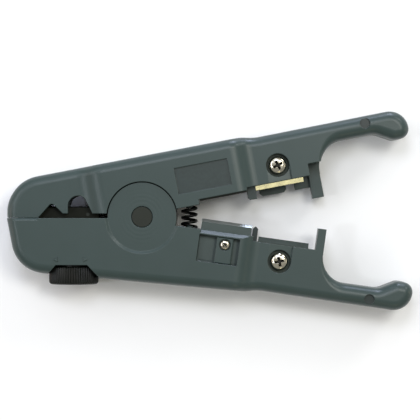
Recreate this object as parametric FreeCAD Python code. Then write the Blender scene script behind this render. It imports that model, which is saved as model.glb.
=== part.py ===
"""Cable stripper: two moulded handles on one pivot, with blades for round and flat cable.

The tool lies flat on its back. +X runs from the jaws to the arms, +Y from the lower to the
upper handle, +Z is the thickness. Everything is drawn about the pivot axis and moved to the
middle of its own footprint at the end. All sizes are millimetres and degrees.

Each arm has a frame of its own: u runs along the arm from the pivot and w outwards from the
line where the two handles meet when they are squeezed shut.
"""
import FreeCAD
import Part
import math
import os

Vector = FreeCAD.Vector

# Angles of the two arms at rest, from +X
UPPER_ANGLE = 10.8
LOWER_ANGLE = -8.0

# Thickness of the handles
BODY_THICKNESS = 19.0
ARM_DROP = 2.0
JAW_DROP = 2.0
EDGE_ROUND = 3.0
FINGER_ROUND = 0.5
FIT_GAP = 0.05
SLIDE_GAP = 0.15
MOVING_GAP = 0.4

# Outer line of an arm, along u and w
BODY_OUTER_W = 19.2
ARM_STEP_IN = 0.95
ARM_STEP_U = 35.6
ARM_STEP_LENGTH = 4.4
BULB_END_U = 89.5
BULB_LEAN = 0.05
BULB_FOOT = 5.5
BULB_SLOPE = 5.6
BULB_TOP_U = BULB_END_U - BULB_LEAN
BULB_LOW_U = BULB_END_U - BULB_FOOT
BULB_NECK_U = BULB_LOW_U - BULB_SLOPE
BULB_RISE = 0.35
GRIP_WIDTH = 6.0
BULB_DROP = 3.15
ARM_OUTER_W = BODY_OUTER_W - ARM_STEP_IN
FINGER_EDGE_W = ARM_OUTER_W - GRIP_WIDTH
BULB_LOW_W = FINGER_EDGE_W - BULB_DROP
FINGER_CUT_U = 59.1
FINGER_CUT_LOW_W = 3.75
FINGER_CUT_R = FINGER_EDGE_W - FINGER_CUT_LOW_W
BULB_TOP_R = 6.2
BULB_TIP_R = 3.25
BULB_LOW_R = 3.2
BULB_NECK_R = 5.0
STEP_INNER_R = 14.0
STEP_OUTER_R = 14.0

# Steps in thickness, along u
ARM_RAMP_U = 31.6
ARM_RAMP_LENGTH = 7.0
JAW_RAMP_U = -18.2
JAW_RAMP_LENGTH = 8.0
RAMP_RIDGE_SHARE = 0.5

# Upper jaw, at rest
JAW_TIP_X = -43.4
PARTING_Y = -0.3
JAW_GAP = 0.1
UPPER_LIP_Y = 1.1
UPPER_TIP_U = -42.5
UPPER_TIP_LOW_W = 12.2
UPPER_TIP_HIGH_U = -35.9
UPPER_TIP_R = 11.5
VEE_LEFT_X = -33.4
VEE_APEX_X = -29.05
VEE_APEX_Y = 4.6
VEE_RIGHT_X = -25.4
VEE_R = 1.0
ARCH_LEFT_X = -23.85
ARCH_RIGHT_X = -15.9
ARCH_TOP_X = -18.8
ARCH_TOP_Y = 6.8
ARCH_LEFT_R = 3.3
ARCH_RIGHT_R = 2.5

# Lower jaw, at rest
LOWER_TIP_X = -43.45
LOWER_CHIN_X = -40.25
LOWER_CHIN_RISE = 1.9
LOWER_CHIN_Y = LOWER_CHIN_RISE - BODY_OUTER_W
LOWER_CHIN_R = 11.0
LIP_ROUND = 0.8

# Edges along which the handles meet, and the stop fingers
SEAT_LEFT_U = 11.0
SEAT_RIGHT_U = 18.8
UPPER_SEAT_W = 0.5
UPPER_EDGE_W = 2.1
UPPER_EDGE_END_U = 34.6
UPPER_WALL_W = 3.0
LOWER_SEAT_W = 1.26
LOWER_SEAT_END_U = 36.2
LOWER_WALL_W = 2.75
LOWER_SEAT_BEVEL_W = 1.2
LOWER_SEAT_BEVEL_Z = 1.0
UPPER_FINGER_U = 55.3
UPPER_FINGER_WIDTH = 3.7
UPPER_FINGER_W = -4.55
UPPER_FINGER_TOP_Z = 8.0
UPPER_NOTCH_W = 6.8
LOWER_FINGER_U = 56.5
LOWER_FINGER_W = -4.2
LOWER_FINGER_LOW_Z = 10.0
LOWER_NOTCH_W = 5.2

# Pivot
EAR_R = 11.0
EAR_SINK = 0.5
EAR_RING = 0.8
EAR_GAP = 0.35
HUB_R = 9.5
HUB_LOW_Z = 5.4
HUB_HEIGHT = 8.2
WASHER_THICKNESS = 0.3
WASHER_R = 6.0
PIN_R = 2.5
PIN_CLEARANCE = 0.05
PIN_HEAD_R = 3.2
PIN_HEAD_HEIGHT = 1.2
PIN_HEAD_SINK_R = 3.45
PIN_CLIP_R = 4.2
PIN_CLIP_THICKNESS = 0.8
PIN_GROOVE_R = 2.0
PIN_BACK_SINK = 1.5
PIN_END_SINK = 0.1

# Return spring
SPRING_X = 15.05
SPRING_R = 2.75
SPRING_WIRE_R = 0.5
SPRING_LOW_Y = -3.8
SPRING_HIGH_Y = 3.65
SPRING_TURNS = 3.2
SPRING_SEAT_DEPTH = 0.9
SPRING_SEAT_R = 3.1
SPRING_POST_R = 1.1
SPRING_POST_HEIGHT = 1.4

# Cutter for whole cable, in the lower handle
CUTTER_START_U = 19.2
CUTTER_LENGTH = 16.2
CUTTER_EDGE_W = -2.2
CUTTER_HEIGHT = 13.1
CUTTER_THICKNESS = 0.8
CUTTER_TOP_Z = 16.0
CUTTER_BEVEL = 0.9
WINDOW_START_U = 19.0
WINDOW_END_U = 32.1
WINDOW_TOP_W = 2.8
WINDOW_BASE_W = 11.4
CLAMP_START_U = 24.6
CLAMP_WIDTH = 5.5
CLAMP_SINK = 0.4
CLAMP_CHAMFER = 0.3
CUTTER_SCREW_U = 27.5
CUTTER_SCREW_W = 5.2
CUTTER_SCREW_R = 1.0
CUTTER_SCREW_HEAD_R = 1.5
CUTTER_SCREW_HEAD_HEIGHT = 1.1
CUTTER_SCREW_DEPTH = 6.0
ANVIL_FACE_W = 1.5
ANVIL_DEPTH = 3.5
ANVIL_LENGTH = 15.2
ANVIL_LOW_Z = 12.6
ANVIL_HEIGHT = 4.8

# Flat-cable blades, one in each handle
UPPER_BLADE_U = 37.5
UPPER_BLADE_LENGTH = 15.65
UPPER_BLADE_EDGE_W = 1.4
LOWER_BLADE_U = 37.9
LOWER_BLADE_LENGTH = 16.3
LOWER_BLADE_EDGE_W = 1.05
FLAT_BLADE_HEIGHT = 11.2
FLAT_BLADE_THICKNESS = 0.8
FLAT_BLADE_TOP_Z = 14.4
FLAT_BLADE_BEVEL = 1.5
FLAT_BLADE_HOLE_R = 1.6
UPPER_SCREW_U = 45.8
UPPER_SCREW_W = 8.15
LOWER_SCREW_U = 45.5
LOWER_SCREW_W = 8.05
SCREW_R = 1.5
SCREW_HEAD_R = 2.8
SCREW_HEAD_HEIGHT = 2.4
SCREW_HEAD_DOME = 0.7
SCREW_DEPTH = 9.0
SCREW_POCKET_R = 3.75
RELIEF_DEPTH = 1.2
CROSS_LENGTH = 3.2
CROSS_WIDTH = 0.7
CROSS_DEPTH = 1.3

# Cable guides behind the flat blades
GUIDE_TOP_Z = 6.0
GUIDE_W = -0.75
GUIDE_A_START_U = 38.75
GUIDE_A_LENGTH = 8.7
GUIDE_B_START_U = 50.3
GUIDE_CORNER = 0.9
UPPER_TAB_U = 34.6
UPPER_TAB_LENGTH = 2.8
UPPER_TAB_W = -1.2
UPPER_TAB_LOW_Z = 5.0
UPPER_TAB_TOP_Z = 14.6
LOWER_TAB_U = 36.0
LOWER_TAB_LENGTH = 1.7
LOWER_TAB_W = -1.9
LOWER_TAB_TOP_Z = 4.6
TAB_ROUND = 0.7

# Bare panel and round marks on the handles
PANEL_START_U = 12.9
PANEL_LENGTH = 17.25
PANEL_LOW_W = 4.8
PANEL_HEIGHT = 8.5
PANEL_DEPTH = 0.5
DIMPLE_U = 75.8
DIMPLE_W = 16.1
DIMPLE_R = 1.65
DIMPLE_DEPTH = 0.9

# Round-cable stripper in the lower jaw
KNOB_X = -22.4
KNOB_R = 8.0
KNOB_SINK = 3.1
KNOB_TOP_Y = KNOB_SINK - BODY_OUTER_W
KNOB_HEIGHT = 5.7
KNOB_ROUND = 1.0
KNOB_ROUND_ANGLES = (90, 45, 0)
KNOB_RIBS = 60
KNOB_RIB_DEPTH = 0.3
KNOB_POCKET_R = 8.4
KNOB_HEADROOM = 0.7
KNOB_BOSS_R = 5.4
THUMB_X = -22.55
THUMB_TOP_HALF = 5.05
THUMB_FLARE = 3.9
THUMB_FLARE_DEPTH = 4.2
CHANNEL_LEFT_X = -33.9
CHANNEL_RIGHT_X = -13.7
CHANNEL_WIDTH = 8.3
CHANNEL_FLOOR_Y = -11.6
UPPER_CHANNEL_TOP_Y = 7.6
CARRIER_TOP_Y = 3.0
CARRIER_HEIGHT = 11.4
CARRIER_DROP = 2.0
SPINDLE_R = 2.0
SPINDLE_TOP_Y = -5.0
SPINDLE_CLEARANCE = 0.05
SPINDLE_PRESS_DEPTH = 3.0
CLIP_R = 3.8
CLIP_THICKNESS = 0.6
CLIP_GROOVE_R = 1.5
CLIP_LIFT = 0.1
ROUND_BLADE_LEFT_X = -32.0
ROUND_BLADE_LENGTH = 16.0
ROUND_BLADE_HEIGHT = 4.0
ROUND_BLADE_THICKNESS = 0.6
ROUND_BLADE_PROUD = 0.35
ROUND_BLADE_BEVEL = 0.5
BLADE_PIN_R = 0.6
BLADE_PIN_X = -17.6
BLADE_PIN_Y = 0.8

FULL_TURN = 360.0
RIGHT_ANGLE = 90.0
MIDDLE_Z = BODY_THICKNESS / 2
ARM_TOP_Z = BODY_THICKNESS - ARM_DROP
JAW_TOP_Z = BODY_THICKNESS - JAW_DROP
HUB_TOP_Z = HUB_LOW_Z + HUB_HEIGHT
EAR_TOP_Z = BODY_THICKNESS - EAR_SINK
SLOT_LOW_Z = HUB_LOW_Z - WASHER_THICKNESS - FIT_GAP
SLOT_TOP_Z = HUB_TOP_Z + WASHER_THICKNESS + FIT_GAP
BEYOND = 60.0
TOUCH = 0.001
MEASURE_STEP = 0.02


class Arm:
    """The frame of one arm: u along it and w outwards, on the side the handle lies."""

    def __init__(self, angle, side):
        self.angle = angle
        self.side = side

    def at(self, u, w, z=0.0):
        """Give the point (u, w, z) of this arm in the frame of the whole tool."""
        turn = math.radians(self.angle)
        v = self.side * w
        x = u * math.cos(turn) - v * math.sin(turn)
        y = u * math.sin(turn) + v * math.cos(turn)
        return Vector(x, y, z)

    def block(self, u_low, u_high, w_low, w_high, z_low, z_high):
        """A straight-sided block along the arm."""
        corners = [(u_low, w_low), (u_high, w_low), (u_high, w_high), (u_low, w_high)]
        return prism([(self.at(u, w), 0) for u, w in corners], z_low, z_high)

    def rod(self, u, w, radius, z_low, z_high):
        """A round bar through the thickness at (u, w)."""
        return Part.makeCylinder(radius, z_high - z_low, self.at(u, w, z_low))


UPPER = Arm(UPPER_ANGLE, 1)
LOWER = Arm(LOWER_ANGLE, -1)


def half_angle(corners, index):
    """Half the angle between the two sides that meet at a corner."""
    corner = corners[index][0]
    back = corners[index - 1][0] - corner
    ahead = corners[(index + 1) % len(corners)][0] - corner
    return back.getAngle(ahead) / 2


def held_radii(corners):
    """The corners' radii, made smaller where two roundings would overlap on the side between them."""
    count = len(corners)
    reaches = [radius / math.tan(half_angle(corners, index)) if radius else 0
               for index, (corner, radius) in enumerate(corners)]
    shares = []
    for index in range(count):
        after = (index + 1) % count
        side = corners[index][0].distanceToPoint(corners[after][0])
        wanted = reaches[index] + reaches[after]
        shares.append(min(1, (side - 2 * TOUCH) / wanted) if wanted else 1)
    return [radius * min(shares[index - 1], shares[index])
            for index, (corner, radius) in enumerate(corners)]


def rounded_path(corners, closed):
    """The lines and arcs through the corners, each rounded by its own radius where it has one."""
    count = len(corners)
    ends = []
    arcs = []
    for index, radius in enumerate(held_radii(corners)):
        corner = corners[index][0]
        if not radius:
            ends.append((corner, corner))
            arcs.append(None)
            continue
        back = (corners[index - 1][0] - corner).normalize()
        ahead = (corners[(index + 1) % count][0] - corner).normalize()
        half = half_angle(corners, index)
        reach = radius / math.tan(half)
        bisector = (back + ahead).normalize()
        middle = corner + bisector * (radius / math.sin(half) - radius)
        ends.append((corner + back * reach, corner + ahead * reach))
        arcs.append(Part.Arc(ends[-1][0], middle, ends[-1][1]).toShape())
    path = []
    for index in range(count):
        if arcs[index]:
            path.append(arcs[index])
        if index + 1 == count and not closed:
            break
        start = ends[index][1]
        end = ends[(index + 1) % count][0]
        if start.distanceToPoint(end) > TOUCH:
            path.append(Part.LineSegment(start, end).toShape())
    return path


def rounded_wire(corners):
    """The closed wire of a rounded outline."""
    return Part.Wire(rounded_path(corners, True))


def prism(corners, z_low, z_high):
    """A solid of the rounded outline between two heights."""
    wire = rounded_wire(corners)
    wire.translate(Vector(0, 0, z_low))
    return Part.Face(wire).extrude(Vector(0, 0, z_high - z_low))


def upright(corners, arm, w_low, w_high):
    """A solid of a wire drawn along u and z, drawn out across the arm from w_low to w_high."""
    start = arm.at(0, w_low)
    face = Part.Face(Part.Wire(corners))
    face.translate(start)
    return face.extrude(arm.at(0, w_high) - start)


def rod_y(x, z, radius, y_low, y_high):
    """A round bar along Y."""
    return Part.makeCylinder(radius, y_high - y_low, Vector(x, y_low, z), Vector(0, 1, 0))


def box(x_low, x_high, y_low, y_high, z_low, z_high):
    """A block square to the tool's own axes."""
    size = (x_high - x_low, y_high - y_low, z_high - z_low)
    return Part.makeBox(*size, Vector(x_low, y_low, z_low))


def ramp_edges(arm, u_start, z_start, u_end, z_end, first_share):
    """Two arcs that lead smoothly from one level to another."""
    length = u_end - u_start
    rise = z_end - z_start
    total = (length ** 2 + rise ** 2) / (2 * abs(rise))
    turn = math.asin(length / total)
    sign = math.copysign(1.0, rise)
    first = total * first_share
    second = total - first
    join_u = u_start + first * math.sin(turn)
    join_z = z_start + sign * first * (1 - math.cos(turn))
    early_u = u_start + first * math.sin(turn / 2)
    early_z = z_start + sign * first * (1 - math.cos(turn / 2))
    late_u = u_end - second * math.sin(turn / 2)
    late_z = z_end - sign * second * (1 - math.cos(turn / 2))
    join = arm.at(join_u, 0, join_z)
    first_arc = Part.Arc(arm.at(u_start, 0, z_start), arm.at(early_u, 0, early_z), join)
    second_arc = Part.Arc(join, arm.at(late_u, 0, late_z), arm.at(u_end, 0, z_end))
    return [first_arc.toShape(), second_arc.toShape()]


def thickness_profile(arm, ramps):
    """The handle seen from its side: flat lands joined by ramps, the same front and back."""
    edges = []
    u = -BEYOND
    z = ramps[0][1]
    for u_start, z_start, u_end, z_end, share in ramps:
        edges.append(Part.LineSegment(arm.at(u, 0, z), arm.at(u_start, 0, z_start)).toShape())
        edges.extend(ramp_edges(arm, u_start, z_start, u_end, z_end, share))
        u = u_end
        z = z_end
    far = BULB_END_U + BEYOND
    edges.append(Part.LineSegment(arm.at(u, 0, z), arm.at(far, 0, z)).toShape())
    edges.append(Part.LineSegment(arm.at(far, 0, z), arm.at(far, 0, MIDDLE_Z)).toShape())
    edges.append(Part.LineSegment(arm.at(far, 0, MIDDLE_Z), arm.at(-BEYOND, 0, MIDDLE_Z)).toShape())
    start = arm.at(-BEYOND, 0, ramps[0][1])
    edges.append(Part.LineSegment(arm.at(-BEYOND, 0, MIDDLE_Z), start).toShape())
    front = upright(edges, arm, -BEYOND, BEYOND)
    back = front.mirror(Vector(0, 0, MIDDLE_Z), Vector(0, 0, 1))
    return front.fuse(back).removeSplitter()


def arm_corners(arm):
    """The outer line shared by both arms, from the step behind the body to the finger cut."""
    return [
        (arm.at(ARM_STEP_U, BODY_OUTER_W), STEP_INNER_R),
        (arm.at(ARM_STEP_U + ARM_STEP_LENGTH, ARM_OUTER_W), STEP_OUTER_R),
        (arm.at(BULB_TOP_U, ARM_OUTER_W + BULB_RISE), BULB_TOP_R),
        (arm.at(BULB_END_U, BULB_LOW_W), BULB_TIP_R),
        (arm.at(BULB_LOW_U, BULB_LOW_W), BULB_LOW_R),
        (arm.at(BULB_NECK_U, FINGER_EDGE_W), BULB_NECK_R),
        (arm.at(FINGER_CUT_U, FINGER_EDGE_W), FINGER_CUT_R),
    ]


def upper_outline():
    """The upper handle from the front: its outer corners from the jaw tip, then its inner ones."""
    outer = [
        (Vector(JAW_TIP_X, PARTING_Y, 0), 0),
        (UPPER.at(UPPER_TIP_U, UPPER_TIP_LOW_W), UPPER_TIP_R),
        (UPPER.at(UPPER_TIP_HIGH_U, BODY_OUTER_W), UPPER_TIP_R),
    ]
    outer += arm_corners(UPPER)
    outer.append((UPPER.at(FINGER_CUT_U, UPPER_WALL_W), 0))
    inner = [
        (UPPER.at(UPPER_EDGE_END_U, UPPER_WALL_W), 0),
        (UPPER.at(UPPER_EDGE_END_U, UPPER_EDGE_W), 0),
        (UPPER.at(SEAT_RIGHT_U, UPPER_EDGE_W), 0),
        (UPPER.at(SEAT_RIGHT_U, UPPER_SEAT_W), 0),
        (UPPER.at(SEAT_LEFT_U, UPPER_SEAT_W), 0),
        (Vector(-SEAT_LEFT_U, UPPER_LIP_Y, 0), 0),
        (Vector(ARCH_RIGHT_X, UPPER_LIP_Y, 0), 0),
        (Vector(ARCH_TOP_X, ARCH_TOP_Y, 0), ARCH_RIGHT_R),
        (Vector(ARCH_LEFT_X, ARCH_TOP_Y, 0), ARCH_LEFT_R),
        (Vector(ARCH_LEFT_X, UPPER_LIP_Y, 0), 0),
        (Vector(VEE_RIGHT_X, UPPER_LIP_Y, 0), 0),
        (Vector(VEE_APEX_X, VEE_APEX_Y, 0), VEE_R),
        (Vector(VEE_LEFT_X, PARTING_Y, 0), 0),
    ]
    return outer, inner


def lower_outline():
    """The lower handle from the front: its outer corners from the jaw tip, then its inner ones."""
    top = PARTING_Y - JAW_GAP
    outer = [
        (Vector(LOWER_TIP_X, top, 0), 0),
        (Vector(LOWER_CHIN_X, LOWER_CHIN_Y, 0), LOWER_CHIN_R),
    ]
    outer += arm_corners(LOWER)
    outer.append((LOWER.at(FINGER_CUT_U, LOWER_WALL_W), 0))
    inner = [
        (LOWER.at(LOWER_SEAT_END_U, LOWER_WALL_W), 0),
        (LOWER.at(LOWER_SEAT_END_U, LOWER_SEAT_W), 0),
        (LOWER.at(SEAT_LEFT_U, LOWER_SEAT_W), 0),
        (Vector(-SEAT_LEFT_U, top, 0), 0),
    ]
    return outer, inner


def edges_along(solid, path):
    """The edges of a solid that run along a path seen from the front, on either face."""
    line = Part.Wire(path)
    picked = []
    for edge in solid.Edges:
        span = (edge.FirstParameter, (edge.FirstParameter + edge.LastParameter) / 2, edge.LastParameter)
        points = [edge.valueAt(step) for step in span]
        flat = [Vector(point.x, point.y, 0) for point in points]
        if flat[0].distanceToPoint(flat[2]) < TOUCH:
            continue
        gaps = [Part.Vertex(point).distToShape(line)[0] for point in flat]
        if max(gaps) < TOUCH:
            picked.append(edge)
    return picked


def handle_blank(outline, arm, ramps):
    """A handle's outline at its stepped thickness, with its outer edges rounded.

    The rounding runs on at full size from the jaw tip to the grip and fades along the finger cut,
    so that the stop finger beside the cut keeps crisp edges.
    """
    outer, inner = outline
    blank = prism(outer + inner, 0, BODY_THICKNESS).common(thickness_profile(arm, ramps))
    blank = blank.removeSplitter()
    fading = edges_along(blank, finger_cut_arc(outer))
    start = fading[0].valueAt(fading[0].FirstParameter)
    end = fading[0].valueAt(fading[0].LastParameter)
    finger = arm.at(FINGER_CUT_U, 0, start.z)
    radii = [EDGE_ROUND, FINGER_ROUND]
    if start.distanceToPoint(finger) < end.distanceToPoint(finger):
        radii.reverse()
    return blank.makeFillet(*radii, fading)


def finger_cut_arc(outer):
    """The arc of the finger cut, which is the last arc of an outer line."""
    arcs = [shape for shape in rounded_path(outer, False) if shape.Curve.TypeId == "Part::GeomCircle"]
    return arcs[-1:]


def arm_ramp():
    """The step from the body down to the arm, the same in both handles."""
    end = ARM_RAMP_U + ARM_RAMP_LENGTH
    return (ARM_RAMP_U, BODY_THICKNESS, end, ARM_TOP_Z, RAMP_RIDGE_SHARE)


def jaw_ramp():
    """The step from the upper jaw up to the body."""
    end = JAW_RAMP_U + JAW_RAMP_LENGTH
    return (JAW_RAMP_U, JAW_TOP_Z, end, BODY_THICKNESS, 1 - RAMP_RIDGE_SHARE)


def round_bar(radius, z_low, z_high):
    """A round bar on the pivot axis."""
    return Part.makeCylinder(radius, z_high - z_low, Vector(0, 0, z_low))


def jaw_channel(y_low, y_high):
    """The space in a jaw in which the blade carrier slides."""
    half = CHANNEL_WIDTH / 2
    return box(CHANNEL_LEFT_X, CHANNEL_RIGHT_X, y_low, y_high, MIDDLE_Z - half, MIDDLE_Z + half)


def seat_u(arm, w):
    """Where along an arm the spring's axis meets the seat at w."""
    turn = math.radians(arm.angle)
    return (SPRING_X + arm.side * w * math.sin(turn)) / math.cos(turn)


def seat_rod(arm, w, radius, w_from, w_to):
    """A round bar square to the spring seat at w."""
    start = arm.at(seat_u(arm, w), w_from, MIDDLE_Z)
    end = arm.at(seat_u(arm, w), w_to, MIDDLE_Z)
    return Part.makeCylinder(radius, (end - start).Length, start, end - start)


def spring_seat(handle, arm, w):
    """Sink a round seat into a handle, with a post that stands inside the spring."""
    floor = w + SPRING_SEAT_DEPTH
    handle = handle.cut(seat_rod(arm, w, SPRING_SEAT_R, w - SPRING_SEAT_DEPTH, floor))
    tip = floor - SPRING_POST_HEIGHT
    return handle.fuse(seat_rod(arm, w, SPRING_POST_R, floor + SPRING_SEAT_DEPTH, tip))


def blade_slot(arm, u, length, w_edge, height, top_z, thickness):
    """The slot that a blade slides into from the mating edge, with its fitting gap."""
    low = top_z - thickness - FIT_GAP
    return arm.block(u - FIT_GAP, u + length + FIT_GAP, w_edge - BEYOND, w_edge + height + FIT_GAP,
                     low, top_z + FIT_GAP)


def flat_blade_seat(handle, arm, blade_u, blade_length, edge_w, screw_u, screw_w):
    """The slot for a flat blade, with the pocket for its screw's head and the hole for the shank."""
    slot = blade_slot(arm, blade_u, blade_length, edge_w, FLAT_BLADE_HEIGHT, FLAT_BLADE_TOP_Z,
                      FLAT_BLADE_THICKNESS)
    pocket = arm.rod(screw_u, screw_w, SCREW_POCKET_R, FLAT_BLADE_TOP_Z, BODY_THICKNESS)
    hole_end = FLAT_BLADE_TOP_Z - SCREW_DEPTH - SLIDE_GAP
    hole = arm.rod(screw_u, screw_w, SCREW_R + FIT_GAP, hole_end, FLAT_BLADE_TOP_Z)
    return handle.cut([slot, pocket, hole, screw_relief(arm, screw_u, screw_w)])


def screw_relief(arm, screw_u, screw_w):
    """The wedge beside a blade screw, deepest along the pocket's far side, down to the mating edge."""
    near = screw_u - SCREW_POCKET_R
    far = screw_u + SCREW_POCKET_R
    corners = [arm.at(near, 0, ARM_TOP_Z), arm.at(far, 0, ARM_TOP_Z - RELIEF_DEPTH),
               arm.at(far, 0, BODY_THICKNESS), arm.at(near, 0, BODY_THICKNESS)]
    return upright(Part.makePolygon(corners + corners[:1]).Edges, arm, -BEYOND, screw_w)


def lip_round():
    """What is cut away to round the front and back of the lower jaw's parting edge at its tip."""
    top = PARTING_Y - JAW_GAP
    low = top - LIP_ROUND
    length = VEE_LEFT_X - LOWER_TIP_X + BODY_THICKNESS
    start = VEE_LEFT_X - length
    front = box(start, VEE_LEFT_X, low, BEYOND, BODY_THICKNESS - LIP_ROUND, BODY_THICKNESS)
    roll = Part.makeCylinder(LIP_ROUND, length, Vector(start, low, BODY_THICKNESS - LIP_ROUND),
                             Vector(1, 0, 0))
    front = front.cut(roll)
    return [front, front.mirror(Vector(0, 0, MIDDLE_Z), Vector(0, 0, 1))]


def dimple(arm):
    """The shallow round mark near the end of an arm."""
    return arm.rod(DIMPLE_U, DIMPLE_W, DIMPLE_R, ARM_TOP_Z - DIMPLE_DEPTH, BODY_THICKNESS)


def hanging_tab(arm, u, length, w, root_w, z_low, z_high, near_cut, far_cut):
    """A tab that hangs from the mating edge, with its two free corners cut or square."""
    corners = [(u, root_w), (u, w + near_cut), (u + near_cut, w)]
    corners += [(u + length - far_cut, w), (u + length, w + far_cut), (u + length, root_w)]
    kept = [corners[0]]
    for corner in corners[1:]:
        if corner != kept[-1]:
            kept.append(corner)
    return prism([(arm.at(along, out), 0) for along, out in kept], z_low, z_high)


def upper_handle():
    """The upper jaw, the hub and the upper arm, moulded in one piece."""
    handle = handle_blank(upper_outline(), UPPER, [jaw_ramp(), arm_ramp()])
    ear_space = EAR_R + EAR_GAP
    handle = handle.cut([round_bar(ear_space, HUB_TOP_Z, BODY_THICKNESS),
                         round_bar(ear_space, 0, HUB_LOW_Z)])
    root_w = UPPER_WALL_W + GUIDE_CORNER
    finger_end = UPPER_FINGER_U + UPPER_FINGER_WIDTH
    handle = handle.cut(UPPER.block(UPPER_FINGER_U, BULB_LOW_U, -BEYOND, UPPER_NOTCH_W,
                                    UPPER_FINGER_TOP_Z, BODY_THICKNESS))
    guide_low = ARM_DROP
    handle = handle.fuse([
        round_bar(HUB_R, HUB_LOW_Z, HUB_TOP_Z),
        UPPER.block(UPPER_FINGER_U, finger_end, UPPER_FINGER_W, UPPER_NOTCH_W,
                    guide_low, UPPER_FINGER_TOP_Z),
        hanging_tab(UPPER, UPPER_TAB_U, UPPER_TAB_LENGTH, UPPER_TAB_W, root_w,
                    UPPER_TAB_LOW_Z, UPPER_TAB_TOP_Z, TAB_ROUND, 0),
        hanging_tab(UPPER, GUIDE_A_START_U, GUIDE_A_LENGTH, GUIDE_W, root_w,
                    guide_low, GUIDE_TOP_Z, GUIDE_CORNER, GUIDE_CORNER),
        UPPER.block(GUIDE_B_START_U, UPPER_FINGER_U, GUIDE_W, root_w, guide_low, GUIDE_TOP_Z),
    ]).removeSplitter()
    panel_end = PANEL_START_U + PANEL_LENGTH
    handle = handle.cut([
        jaw_channel(-BEYOND, UPPER_CHANNEL_TOP_Y),
        UPPER.block(PANEL_START_U, panel_end, PANEL_LOW_W, PANEL_LOW_W + PANEL_HEIGHT,
                    BODY_THICKNESS - PANEL_DEPTH, BODY_THICKNESS),
        dimple(UPPER),
        anvil_block(FIT_GAP, BEYOND),
        round_bar(PIN_R + PIN_CLEARANCE, HUB_LOW_Z, HUB_TOP_Z),
    ])
    handle = flat_blade_seat(handle, UPPER, UPPER_BLADE_U, UPPER_BLADE_LENGTH, UPPER_BLADE_EDGE_W,
                             UPPER_SCREW_U, UPPER_SCREW_W)
    return spring_seat(handle, UPPER, UPPER_SEAT_W)


def lower_handle():
    """The lower jaw, the two ears and the lower arm, moulded in one piece."""
    handle = handle_blank(lower_outline(), LOWER, [arm_ramp()])
    handle = handle.cut(ear_recesses())
    handle = handle.fuse([
        round_bar(EAR_R, EAR_SINK, SLOT_LOW_Z),
        round_bar(EAR_R, SLOT_TOP_Z, EAR_TOP_Z),
        LOWER.block(LOWER_FINGER_U, FINGER_CUT_U, LOWER_FINGER_W, LOWER_NOTCH_W,
                    LOWER_FINGER_LOW_Z, ARM_TOP_Z),
        hanging_tab(LOWER, LOWER_TAB_U, LOWER_TAB_LENGTH, LOWER_TAB_W, LOWER_WALL_W + GUIDE_CORNER,
                    ARM_DROP, LOWER_TAB_TOP_Z, TAB_ROUND, TAB_ROUND),
    ]).removeSplitter()
    bore = PIN_R + PIN_CLEARANCE
    handle = handle.cut([
        round_bar(HUB_R + MOVING_GAP, SLOT_LOW_Z, SLOT_TOP_Z),
        round_bar(bore, 0, BODY_THICKNESS),
        round_bar(PIN_HEAD_SINK_R, EAR_TOP_Z - PIN_HEAD_HEIGHT, BODY_THICKNESS),
        round_bar(PIN_CLIP_R + MOVING_GAP, 0, EAR_SINK + PIN_BACK_SINK),
        jaw_channel(CHANNEL_FLOOR_Y, BEYOND),
        rod_y(KNOB_X, MIDDLE_Z, SPINDLE_R + SPINDLE_CLEARANCE, KNOB_TOP_Y, CHANNEL_FLOOR_Y),
        rod_y(KNOB_X, MIDDLE_Z, KNOB_POCKET_R, -BEYOND, KNOB_TOP_Y + KNOB_HEADROOM),
        thumb_window(),
        LOWER.block(WINDOW_START_U, WINDOW_END_U, WINDOW_TOP_W, WINDOW_BASE_W, CUTTER_TOP_Z, BODY_THICKNESS),
        blade_slot(LOWER, CUTTER_START_U, CUTTER_LENGTH, CUTTER_EDGE_W, CUTTER_HEIGHT,
                   CUTTER_TOP_Z, CUTTER_THICKNESS),
        seat_bevel(),
        LOWER.rod(CUTTER_SCREW_U, CUTTER_SCREW_W, CUTTER_SCREW_R + FIT_GAP,
                  CUTTER_TOP_Z - CUTTER_SCREW_DEPTH, CUTTER_TOP_Z),
        LOWER.block(UPPER_FINGER_U - MOVING_GAP, BULB_LOW_U, -BEYOND, LOWER_NOTCH_W,
                    0, UPPER_FINGER_TOP_Z + MOVING_GAP),
        dimple(LOWER),
    ] + lip_round())
    handle = flat_blade_seat(handle, LOWER, LOWER_BLADE_U, LOWER_BLADE_LENGTH, LOWER_BLADE_EDGE_W,
                             LOWER_SCREW_U, LOWER_SCREW_W)
    return spring_seat(handle, LOWER, LOWER_SEAT_W)


def ear_recesses():
    """The shallow cones that leave a sloping ring round each ear, front and back."""
    front = Part.makeCone(EAR_R, EAR_R + EAR_RING, EAR_SINK, Vector(0, 0, EAR_TOP_Z))
    return [front, front.mirror(Vector(0, 0, MIDDLE_Z), Vector(0, 0, 1))]


def thumb_window():
    """The opening through both walls of the lower jaw, where the thumb reaches the knob."""
    top = KNOB_TOP_Y + KNOB_HEADROOM
    low = top - THUMB_FLARE_DEPTH
    low_half = THUMB_TOP_HALF + THUMB_FLARE
    corners = [(THUMB_X - THUMB_TOP_HALF, top), (THUMB_X + THUMB_TOP_HALF, top),
               (THUMB_X + low_half, low), (THUMB_X - low_half, low)]
    return prism([(Vector(x, y, 0), 0) for x, y in corners], 0, BODY_THICKNESS)


def anvil_block(gap, open_side):
    """The anvil's own size, or with a gap and an open side the pocket that holds it."""
    end = CUTTER_START_U + ANVIL_LENGTH
    return UPPER.block(CUTTER_START_U - gap, end + gap,
                       ANVIL_FACE_W - open_side, ANVIL_FACE_W + ANVIL_DEPTH + gap,
                       ANVIL_LOW_Z - gap, ANVIL_LOW_Z + ANVIL_HEIGHT + gap)


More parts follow.
